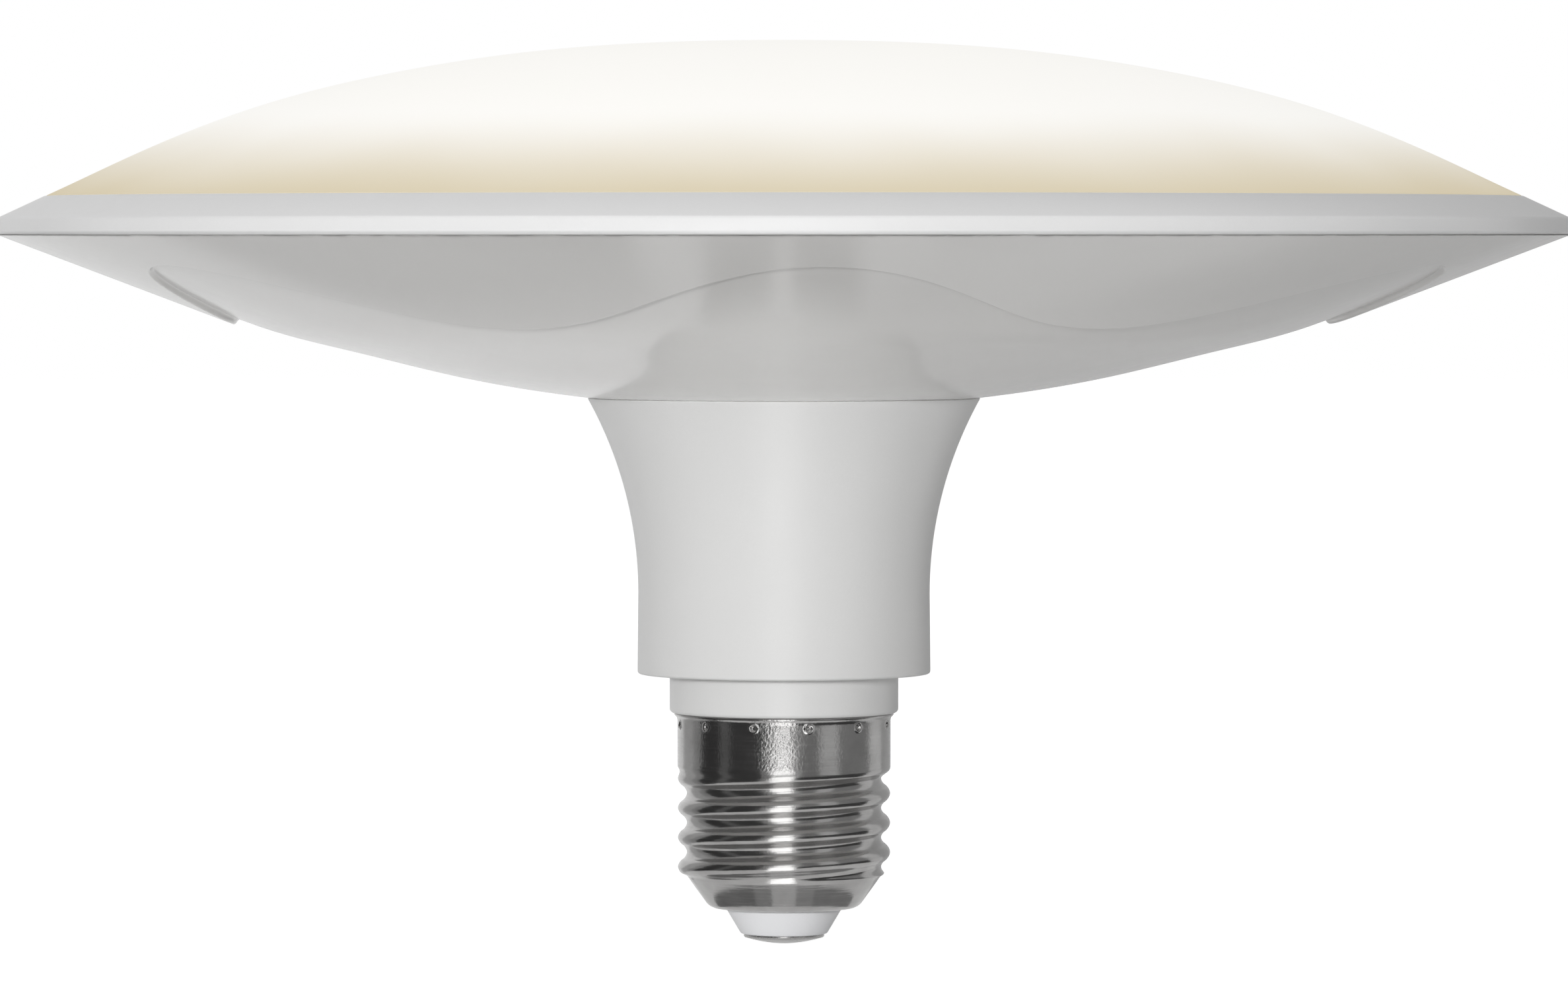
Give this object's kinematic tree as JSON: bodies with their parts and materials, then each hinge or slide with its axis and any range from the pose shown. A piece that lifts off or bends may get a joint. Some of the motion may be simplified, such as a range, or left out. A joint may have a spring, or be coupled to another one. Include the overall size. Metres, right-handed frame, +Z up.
{
  "type": "led bulb",
  "caption": "Flat dish-shaped LED lamp with a shallow opal dome, bezel ring, scalloped housing, trumpet neck and metal screw cap; driver and LED board inside.",
  "frame": {"origin": "tip of the centre contact, on the lamp's axis", "axes": "+Z runs up the axis from the contact to the top of the dome, and -Y faces the viewer of the picture"},
  "size_m": [0.1924, 0.1924, 0.1108],
  "materials": {
    "opal_dome": "opal polycarbonate, satin, lit from inside",
    "bezel_white": "semi-gloss moulded",
    "dish_white": "semi-gloss moulded, fine grain",
    "neck_white": "satin moulded, fine grain",
    "collar_white": "satin moulded",
    "cap_nickel": "nickel-plated rolled sheet, lightly handled",
    "insulator_white": "smooth moulded",
    "contact_nickel": "nickel-plated pressed disc",
    "spreader_aluminium": "pressed sheet, as rolled",
    "board_white": "white solder mask on aluminium",
    "phosphor_yellow": "phosphor in a white package",
    "screw_steel": "zinc-plated",
    "connector_white": "moulded nylon",
    "laminate_green": "glass laminate with solder mask",
    "capacitor_sleeve": "shrink sleeve",
    "ferrite_grey": "ground ferrite",
    "component_black": "moulded epoxy",
    "copper_enamel": "enamelled copper wire",
    "film_yellow": "moulded box",
    "resistor_tan": "coated body",
    "wire_red": "soft insulation",
    "wire_black": "soft insulation",
    "wire_brown": "soft insulation",
    "wire_blue": "soft insulation"
  },
  "bodies": {
    "root": {"diffuser": "opal_dome", "bezel_ring": "bezel_white", "dish_housing": "dish_white", "neck": "neck_white", "cap_collar": "collar_white", "screw_shell": "cap_nickel", "cap_insulator": "insulator_white", "centre_contact": "contact_nickel", "heat_spreader": "spreader_aluminium", "led_board": "board_white", "led_chips": "phosphor_yellow", "board_screws": "screw_steel", "neck_screws": "screw_steel", "board_terminal": "connector_white", "output_header": "connector_white", "output_plug": "connector_white", "driver_board": "laminate_green", "input_capacitor": "capacitor_sleeve", "output_capacitor": "capacitor_sleeve", "transformer_core": "ferrite_grey", "transformer_bobbin": "component_black", "transformer_winding": "copper_enamel", "film_capacitor": "film_yellow", "bridge_rectifier": "component_black", "driver_chip": "component_black", "chip_resistors": "component_black", "fuse_resistor": "resistor_tan", "positive_lead": "wire_red", "negative_lead": "wire_black", "live_lead": "wire_brown", "neutral_lead": "wire_blue"}
  },
  "joints": []
}
